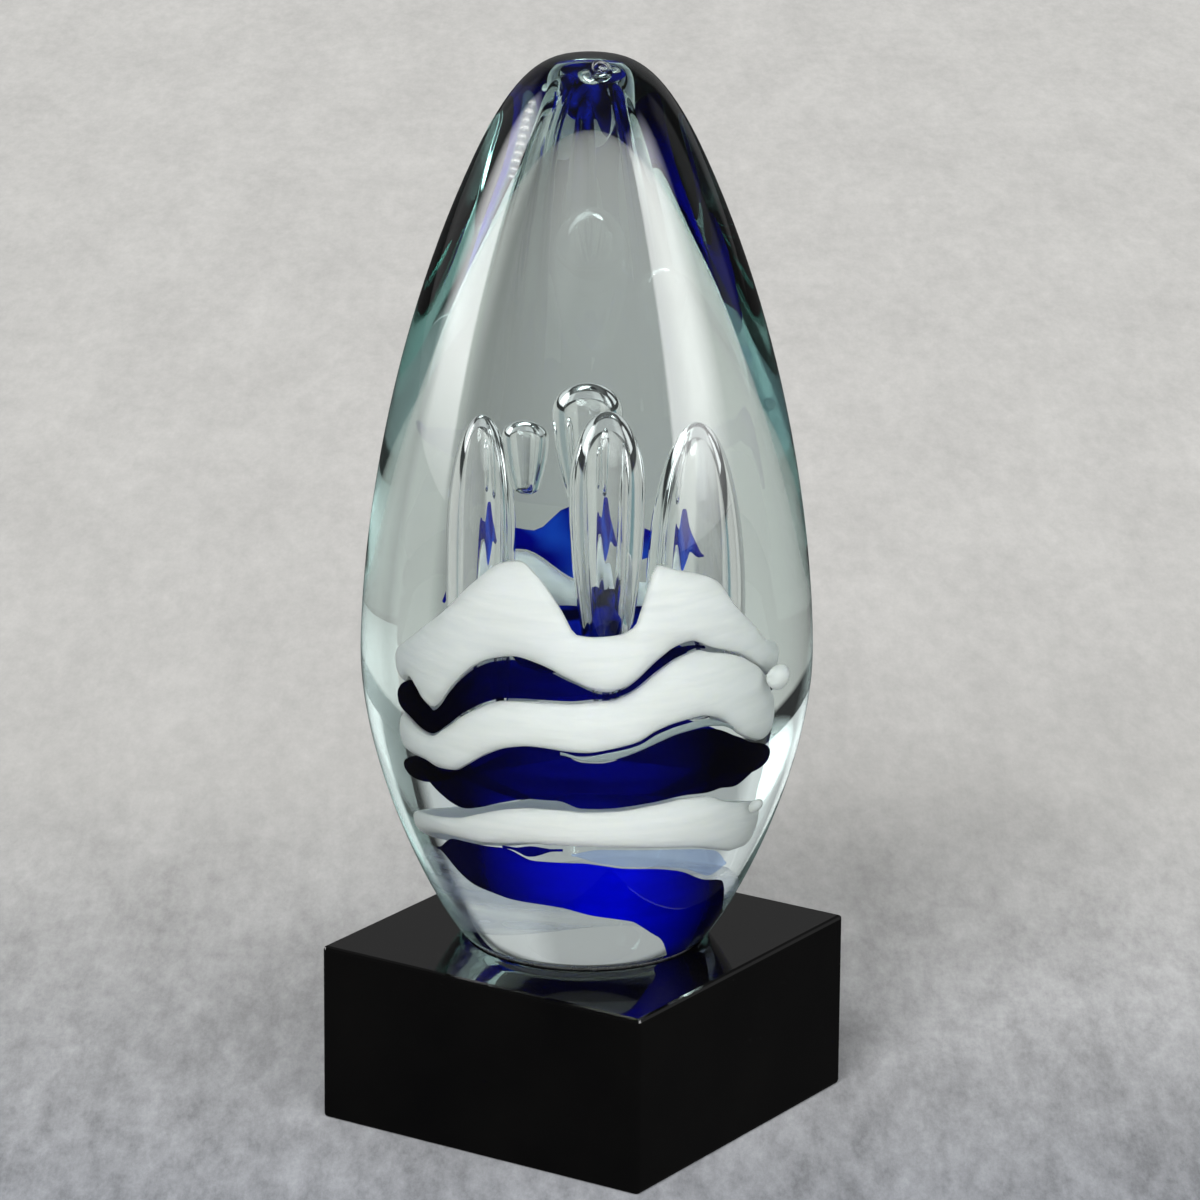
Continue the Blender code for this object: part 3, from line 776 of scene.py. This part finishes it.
def calculated(nodes, links, operation, *values):
    """Result of a Math node on sockets and numbers."""
    node = nodes.new("ShaderNodeMath")
    node.operation = operation
    for index, value in enumerate(values):
        if isinstance(value, (int, float)):
            node.inputs[index].default_value = value
        else:
            links.new(value, node.inputs[index])
    return node.outputs["Value"]


def product(nodes, links, first, second):
    """Two sockets or numbers multiplied."""
    return calculated(nodes, links, "MULTIPLY", first, second)


def total(nodes, links, first, second):
    """Two sockets or numbers added."""
    return calculated(nodes, links, "ADD", first, second)


def separated(nodes, links, vector):
    """The X, Y and Z of a vector."""
    split = nodes.new("ShaderNodeSeparateXYZ")
    links.new(vector, split.inputs["Vector"])
    return split.outputs["X"], split.outputs["Y"], split.outputs["Z"]


def clear_glass():
    """Clear crystal with a slight green body colour and faint cords in it."""
    material, nodes, links, output = new_material("clear_crystal")
    shader = surface(nodes, links, output, {
        "Base Color": (1.0, 1.0, 1.0, 1.0), "Transmission Weight": 1.0, "IOR": CRYSTAL_IOR})
    cords = noise(nodes, links, scale=60.0, detail=3.0, stretch_by=(1.0, 1.0, 0.15))
    smears = mapped(nodes, links, cords, (0.45, 0.75), (0.0, 0.008))
    links.new(smears, shader.inputs["Roughness"])
    links.new(bump(nodes, links, cords, strength=0.05, distance=0.0002), shader.inputs["Normal"])
    body_colour(nodes, links, output, CRYSTAL_GREEN, CRYSTAL_DENSITY)
    return material


def glued_foot():
    """Black block as the glass shows it through the clear glue, with a few cloudy spots."""
    material, nodes, links, output = new_material("glued_foot")
    shader = surface(nodes, links, output, {"Roughness": 0.4, "Specular IOR Level": 0.1})
    spots = noise(nodes, links, scale=300.0, detail=3.0)
    share = mapped(nodes, links, spots, (0.60, 0.72))
    links.new(blended(nodes, links, share, GLUED_BLACK, GLUED_CLOUDY),
              shader.inputs["Base Color"])
    return material


def white_glass():
    """Opaque white glass, milky and slightly streaked."""
    material, nodes, links, output = new_material("opal_white")
    shader = surface(nodes, links, output, {
        "Roughness": 0.6, "Specular IOR Level": 0.0, "Subsurface Weight": 1.0,
        "Subsurface Radius": (1.0, 1.0, 1.1), "Subsurface Scale": 0.004})
    streaks = noise(nodes, links, scale=60.0, detail=3.0, stretch_by=(1.0, 1.0, 7.0))
    shade = mapped(nodes, links, streaks, (0.40, 0.65))
    links.new(blended(nodes, links, shade, OPAL_WARM, OPAL_GREY), shader.inputs["Base Color"])
    links.new(bump(nodes, links, streaks, strength=0.5, distance=0.0006), shader.inputs["Normal"])
    return material


def white_veil():
    """White glass pulled so thin that it is only a wispy veil."""
    material, nodes, links, output = new_material("opal_veil")
    shader = surface(nodes, links, output, {"Roughness": 0.6, "Specular IOR Level": 0.0})
    wisps = noise(nodes, links, scale=70.0, detail=3.0, stretch_by=(1.0, 1.0, 3.0))
    links.new(blended(nodes, links, wisps, OPAL_VEIL_BLUISH, OPAL_VEIL_PALE),
              shader.inputs["Base Color"])
    links.new(mapped(nodes, links, wisps, (0.40, 0.65), (0.06, 0.40)), shader.inputs["Alpha"])
    return material


def painted_shade_grey():
    """Thin milky grey sheet under a white band, painted shade of the gap there."""
    material, nodes, links, output = new_material("painted_shade_lip")
    shader = surface(nodes, links, output, {
        "Roughness": 0.6, "Specular IOR Level": 0.0, "Transmission Weight": 0.2,
        "IOR": SET_IN_GLASS_IOR})
    wisps = noise(nodes, links, scale=90.0, detail=2.0, stretch_by=(1.0, 1.0, 3.0))
    links.new(blended(nodes, links, wisps, LIP_SHADE_DARK, LIP_SHADE_PALE),
              shader.inputs["Base Color"])
    return material


def bearing_round_egg(nodes, links):
    """Bearing round the egg in degrees, from the egg's front."""
    place = nodes.new("ShaderNodeTexCoord")
    east, north, _ = separated(nodes, links, place.outputs["Object"])
    angle = calculated(nodes, links, "ARCTAN2", north, east)
    return calculated(nodes, links, "MULTIPLY_ADD", angle, 180 / pi, -FRONT_BEARING)


def set_in_glass(nodes, links, output, transmission):
    """Clear coloured glass inside the egg, whose faces bend no light."""
    return surface(nodes, links, output, {
        "Roughness": 0.0, "Transmission Weight": transmission, "IOR": SET_IN_GLASS_IOR})


def deep_blue_glass():
    """Cobalt glass, painted with shade: nearly black at the egg's left and right, brighter at its
    front and rear.
    """
    material, nodes, links, output = new_material("cobalt_deep")
    shader = set_in_glass(nodes, links, output, transmission=0.88)
    # Painted shade: nearly black as the bearing turns to the egg's left and right
    bearing = calculated(nodes, links, "RADIANS", bearing_round_egg(nodes, links))
    facing = calculated(nodes, links, "ABSOLUTE", calculated(nodes, links, "COSINE", bearing))
    facing = calculated(nodes, links, "POWER", facing, 2.0)
    painted_brightness = mapped(nodes, links, facing, DEEP_BLUE_FACING, (DEEP_BLUE_SIDE, 1.0))
    veins = noise(nodes, links, scale=70.0, detail=3.0, stretch_by=(1.0, 1.0, 4.0))
    share = product(nodes, links, painted_brightness,
                    mapped(nodes, links, veins, (0.35, 0.65), (0.5, 1.0)))
    links.new(blended(nodes, links, share, COBALT_NIGHT, COBALT_DEEP),
              shader.inputs["Base Color"])
    body_colour(nodes, links, output, COBALT_BODY, COBALT_DENSITY)
    return material


def crown_blue_glass():
    """Cobalt glass of the crown, with paler streaks where it is pulled thin."""
    material, nodes, links, output = new_material("cobalt_crown")
    shader = set_in_glass(nodes, links, output, transmission=0.6)
    veins = noise(nodes, links, scale=75.0, detail=2.0, stretch_by=(1.0, 1.0, 0.6))
    share = mapped(nodes, links, veins, (0.54, 0.66))
    links.new(blended(nodes, links, share, CROWN_DEEP, CROWN_PALE), shader.inputs["Base Color"])
    return material


def milky_blue():
    """Bright cobalt glass that scatters a little, with painted shade towards the band's ends."""
    material, nodes, links, output = new_material("cobalt_bright")
    shader = set_in_glass(nodes, links, output, transmission=0.5)
    bearing = bearing_round_egg(nodes, links)
    # Painted shade towards both ends of the band
    painted_brightness = product(nodes, links,
                        mapped(nodes, links, bearing, BRIGHT_BLUE_LEFT_FADE,
                               (BRIGHT_BLUE_END, 1.0)),
                        mapped(nodes, links, bearing, BRIGHT_BLUE_RIGHT_FADE,
                               (1.0, BRIGHT_BLUE_END)))
    veins = noise(nodes, links, scale=90.0, detail=3.0, stretch_by=(1.0, 1.0, 2.5))
    share = product(nodes, links, painted_brightness,
                    mapped(nodes, links, veins, (0.35, 0.6), (0.8, 1.0)))
    links.new(blended(nodes, links, share, COBALT_NIGHT, COBALT_BRIGHT),
              shader.inputs["Base Color"])
    return material


def pale_blue_veil():
    """Cobalt pulled so thin that it only tints what lies behind it."""
    material, nodes, links, output = new_material("cobalt_veil")
    shader = set_in_glass(nodes, links, output, transmission=0.85)
    wisps = noise(nodes, links, scale=80.0, detail=2.0, stretch_by=(1.0, 1.0, 2.0))
    links.new(blended(nodes, links, wisps, COBALT_VEIL_BLUE, COBALT_VEIL_PALE),
              shader.inputs["Base Color"])
    return material


def dense_cobalt():
    """Cobalt glass so dense that light only enters its skin, mottled with brighter streaks."""
    material, nodes, links, output = new_material("cobalt_dense")
    shader = surface(nodes, links, output, {"Roughness": 0.5, "Specular IOR Level": 0.0})
    swirl = noise(nodes, links, scale=110.0, detail=1.0)
    share = mapped(nodes, links, swirl, (0.40, 0.70))
    links.new(blended(nodes, links, share, INNER_BLUE_DARK, INNER_BLUE_BRIGHT),
              shader.inputs["Base Color"])
    links.new(bump(nodes, links, swirl, strength=0.12, distance=0.001), shader.inputs["Normal"])
    return material


def black_crystal():
    """Polished black crystal with faint rubbing marks."""
    material, nodes, links, output = new_material("black_crystal")
    shader = surface(nodes, links, output, {})
    clouds = noise(nodes, links, scale=45.0, detail=4.0)
    tone = mapped(nodes, links, clouds, (0.3, 0.8))
    links.new(blended(nodes, links, tone, BLOCK_BLACK, BLOCK_WORN), shader.inputs["Base Color"])
    links.new(mapped(nodes, links, clouds, (0.3, 0.8), (0.03, 0.07)), shader.inputs["Roughness"])
    return material


def cured_adhesive():
    """Thin clear adhesive, cloudy from fine bubbles."""
    material, nodes, links, output = new_material("cured_adhesive")
    shader = surface(nodes, links, output, {"Transmission Weight": 0.9, "IOR": ADHESIVE_IOR})
    cloud = noise(nodes, links, scale=400.0, detail=3.0)
    links.new(blended(nodes, links, cloud, ADHESIVE_CLOUDY, ADHESIVE_CLEAR),
              shader.inputs["Base Color"])
    links.new(mapped(nodes, links, cloud, (0.3, 0.7), (0.2, 0.4)), shader.inputs["Roughness"])
    return material


def studio_axes(nodes, links, vector):
    """Position or direction with X right, Y away and Z up as the photograph's camera sees it."""
    mapping = nodes.new("ShaderNodeMapping")
    mapping.inputs["Rotation"].default_value = (0.0, 0.0, radians(-CAMERA_AZIMUTH))
    links.new(vector, mapping.inputs["Vector"])
    return mapping.outputs["Vector"]


def aimed(azimuth, elevation):
    """Direction in the studio's axes, its azimuth counted from straight ahead to the right."""
    return (sin(radians(azimuth)) * cos(radians(elevation)),
            cos(radians(azimuth)) * cos(radians(elevation)), sin(radians(elevation)))


def lamp(nodes, links, direction, aim, spread, strength):
    """Soft round lamp of the world: full within its inner angle, none past its outer one."""
    dot = nodes.new("ShaderNodeVectorMath")
    dot.operation = "DOT_PRODUCT"
    links.new(direction, dot.inputs[0])
    dot.inputs[1].default_value = aimed(*aim)
    inner, outer = (cos(radians(angle)) for angle in spread)
    return mapped(nodes, links, dot.outputs["Value"], (outer, inner), (0.0, strength))


def light_box(nodes, links, direction, azimuths, heights, strength):
    """Tall box of light, with the azimuths and sines of elevation where each edge fades."""
    right, away, up = separated(nodes, links, direction)
    azimuth = calculated(nodes, links, "ARCTAN2", right, away)
    start, full, fading, end = (radians(angle) for angle in azimuths)
    light = mapped(nodes, links, azimuth, (start, full), (0.0, strength))
    light = product(nodes, links, light,
                    mapped(nodes, links, azimuth, (fading, end), (1.0, 0.0)))
    start, full, fading, end = heights
    light = product(nodes, links, light, mapped(nodes, links, up, (start, full)))
    return product(nodes, links, light, mapped(nodes, links, up, (fading, end), (1.0, 0.0)))


def lamps(nodes, links, studio, mirrored):
    """Key and fill in front of the egg, which polished faces show only faintly."""
    light = total(nodes, links,
                  lamp(nodes, links, studio, KEY_AIM, KEY_SPREAD, KEY_STRENGTH),
                  lamp(nodes, links, studio, FILL_AIM, FILL_SPREAD, FILL_STRENGTH))
    return product(nodes, links, light,
                   mapped(nodes, links, mirrored, (0.0, 1.0), (1.0, MIRRORED_LAMP_SHARE)))


def side_boxes(nodes, links, studio, mirrored):
    """Light box at either side of the egg, brighter where a polished face shows it."""
    light = total(nodes, links,
                  light_box(nodes, links, studio, RIGHT_BOX, BOX_HEIGHTS, 1.0),
                  light_box(nodes, links, studio, LEFT_BOX, BOX_HEIGHTS, 1.0))
    return product(nodes, links, light,
                   mapped(nodes, links, mirrored, (0.0, 1.0),
                          (BOX_STRENGTH, MIRRORED_BOX_STRENGTH)))


def pale_walls(nodes, links, studio, mirrored):
    """Pale walls behind the egg, which polished faces show dimmed."""
    light = 0.0
    for azimuths, shade in WALLS:
        wall = light_box(nodes, links, studio, azimuths, WALL_HEIGHTS, shade)
        light = total(nodes, links, wall, light)
    return product(nodes, links, light,
                   mapped(nodes, links, mirrored, (0.0, 1.0), (1.0, MIRRORED_WALL_SHARE)))


def light_room():
    """Lamps before the egg, light boxes at its sides and pale walls behind, in a dark room.

    The camera itself sees an even pale backdrop.
    """
    world = bpy.data.worlds.new("studio")
    bpy.context.scene.world = world
    world.use_nodes = True
    nodes, links = world.node_tree.nodes, world.node_tree.links
    nodes.clear()
    output = nodes.new("ShaderNodeOutputWorld")
    place = nodes.new("ShaderNodeTexCoord")
    studio = studio_axes(nodes, links, place.outputs["Generated"])
    _, _, up = separated(nodes, links, studio)
    rays = nodes.new("ShaderNodeLightPath")
    mirrored = rays.outputs["Is Reflection Ray"]
    strength = ROOM_GLOW
    for light in (mapped(nodes, links, up, CEILING_HEIGHTS, (0.0, CEILING_STRENGTH)),
                  side_boxes(nodes, links, studio, mirrored),
                  lamps(nodes, links, studio, mirrored),
                  pale_walls(nodes, links, studio, mirrored)):
        strength = total(nodes, links, light, strength)
    room = nodes.new("ShaderNodeBackground")
    room.inputs["Color"].default_value = (1.0, 1.0, 1.0, 1.0)
    links.new(strength, room.inputs["Strength"])
    backdrop = nodes.new("ShaderNodeBackground")
    backdrop.inputs["Color"].default_value = (*BACKDROP_PALE, 1.0)
    mix = nodes.new("ShaderNodeMixShader")
    links.new(rays.outputs["Is Camera Ray"], mix.inputs["Fac"])
    links.new(room.outputs["Background"], mix.inputs[1])
    links.new(backdrop.outputs["Background"], mix.inputs[2])
    links.new(mix.outputs["Shader"], output.inputs["Surface"])


def felt_colour(nodes, links, studio, away):
    """Felt as the camera sees it: grey with painted shade and mottled in front, paler and
    smoother behind.
    """
    even = nodes.new("ShaderNodeMapping")
    even.inputs["Scale"].default_value = (1.0, FELT_STRETCH, 1.0)
    links.new(studio, even.inputs["Vector"])
    fleck = pattern(nodes, links, even.outputs["Vector"], scale=190.0, detail=6.0, roughness=0.8)
    cloud = pattern(nodes, links, even.outputs["Vector"], scale=40.0, detail=4.0)
    # Painted shade: darker grey towards the front
    depth = mapped(nodes, links, away, FELT_DEPTH)
    tone = blended(nodes, links, depth, FLOOR_FRONT_SHADE, FLOOR_PALE)
    grain = mapped(nodes, links, depth, (0.0, 1.0), (1.0, PALE_FELT_GRAIN))
    mottle = total(nodes, links,
                   product(nodes, links, calculated(nodes, links, "SUBTRACT", fleck, 0.5),
                           FLECK_CONTRAST),
                   calculated(nodes, links, "SUBTRACT", cloud, 0.5))
    light = calculated(nodes, links, "MULTIPLY_ADD", mottle, grain, 1.0)
    felt = nodes.new("ShaderNodeVectorMath")
    felt.operation = "SCALE"
    links.new(tone, felt.inputs[0])
    links.new(light, felt.inputs["Scale"])
    return felt.outputs["Vector"]


def floor_painted_for_glass(nodes, links, right, away):
    """Floor as the glass shows it: painted shadows by the way from the block, painted dark far to
    its sides.
    """
    bearing = calculated(nodes, links, "ARCTAN2", right, away)
    turn = calculated(nodes, links, "MULTIPLY_ADD", bearing, 0.5 / pi, 0.5)
    ramp = nodes.new("ShaderNodeValToRGB")
    elements = ramp.color_ramp.elements
    elements.remove(elements[0])
    for index, (degrees_right, shade) in enumerate(FLOOR_PAINTED_SHADOWS):
        place = degrees_right / 360 + 0.5
        element = elements.new(place) if index else elements[0]
        element.position = place
        element.color = (*shade, 1.0)
    links.new(turn, ramp.inputs["Fac"])
    # Painted dark far to either side of the block
    side = mapped(nodes, links, calculated(nodes, links, "ABSOLUTE", right), FLOOR_SIDES)
    return blended(nodes, links, side, ramp.outputs["Color"], FLOOR_PAINTED_DARK)


def floor_felt():
    """Mottled felt; glass sees the floor in its place with painted shadows, polished faces see it
    painted dark.
    """
    material, nodes, links, output = new_material("studio_felt")
    place = nodes.new("ShaderNodeTexCoord")
    studio = studio_axes(nodes, links, place.outputs["Object"])
    right, away, _ = separated(nodes, links, studio)
    rays = nodes.new("ShaderNodeLightPath")
    # Painted shadows of the egg and block on the floor, for rays through the glass
    seen = blended(nodes, links, rays.outputs["Is Transmission Ray"],
                   felt_colour(nodes, links, studio, away),
                   floor_painted_for_glass(nodes, links, right, away))
    # Painted dark floor in what polished faces reflect
    colour = blended(nodes, links, rays.outputs["Is Reflection Ray"], seen, FLOOR_PAINTED_DARK)
    shader = nodes.new("ShaderNodeBsdfDiffuse")
    links.new(colour, shader.inputs["Color"])
    links.new(shader.outputs["BSDF"], output.inputs["Surface"])
    return material


def make_floor():
    """Felt floor under the block."""
    bm = bmesh.new()
    bmesh.ops.create_grid(bm, x_segments=FLOOR_SQUARES, y_segments=FLOOR_SQUARES,
                          size=FLOOR_SIZE / 2)
    mesh = bpy.data.meshes.new("studio_floor")
    bm.to_mesh(mesh)
    bm.free()
    mesh.materials.append(floor_felt())
    floor = bpy.data.objects.new("studio_floor", mesh)
    bpy.context.scene.collection.objects.link(floor)


def make_camera():
    """Camera at the photograph's place, aimed at the middle of its frame."""
    azimuth, elevation = radians(CAMERA_AZIMUTH), radians(CAMERA_ELEVATION)
    back = Vector((sin(azimuth) * cos(elevation), -cos(azimuth) * cos(elevation),
                   sin(elevation)))
    data = bpy.data.cameras.new("camera")
    data.lens = CAMERA_LENS
    camera = bpy.data.objects.new("camera", data)
    camera.location = Vector((0.0, 0.0, BLOCK_HEIGHT)) + back * CAMERA_DISTANCE
    camera.rotation_mode = "QUATERNION"
    aim = (-back).to_track_quat("-Z", "Y")
    aim = aim @ Quaternion((0.0, 1.0, 0.0), radians(-CAMERA_PAN))
    aim = aim @ Quaternion((1.0, 0.0, 0.0), radians(CAMERA_TILT))
    camera.rotation_quaternion = aim @ Quaternion((0.0, 0.0, 1.0), radians(CAMERA_ROLL))
    bpy.context.scene.collection.objects.link(camera)
    bpy.context.scene.camera = camera


def set_bounces():
    """Enough bounces for light to cross the glass, the bubbles and the bands."""
    cycles = bpy.context.scene.cycles
    cycles.max_bounces = GLASS_BOUNCES
    cycles.transmission_bounces = GLASS_BOUNCES
    cycles.glossy_bounces = POLISH_BOUNCES


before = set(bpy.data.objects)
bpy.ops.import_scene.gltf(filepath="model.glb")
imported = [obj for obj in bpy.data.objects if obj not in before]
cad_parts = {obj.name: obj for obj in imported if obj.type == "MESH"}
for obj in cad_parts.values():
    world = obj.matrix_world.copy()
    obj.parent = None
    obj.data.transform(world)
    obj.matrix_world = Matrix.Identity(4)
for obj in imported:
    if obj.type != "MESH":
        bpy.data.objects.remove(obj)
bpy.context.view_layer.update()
make_glass(clear_glass(), glued_foot())
bands = band_edges()
white, deep_blue, crown_blue = white_glass(), deep_blue_glass(), crown_blue_glass()
make_bands(bands, white, white_veil(), milky_blue(), deep_blue, crown_blue)
make_blue_tongue(bands, deep_blue)
make_crown_tail(bands, crown_blue)
make_blue_veil(bands, pale_blue_veil())
make_white_lip(bands, painted_shade_grey())
make_white_knobs(white)
make_inner_blue(dense_cobalt())
dress(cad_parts["base_block"], black_crystal())
dress(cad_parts["adhesive_disc"], cured_adhesive())
make_floor()
light_room()
make_camera()
set_bounces()
bpy.context.scene.view_settings.view_transform = "Standard"
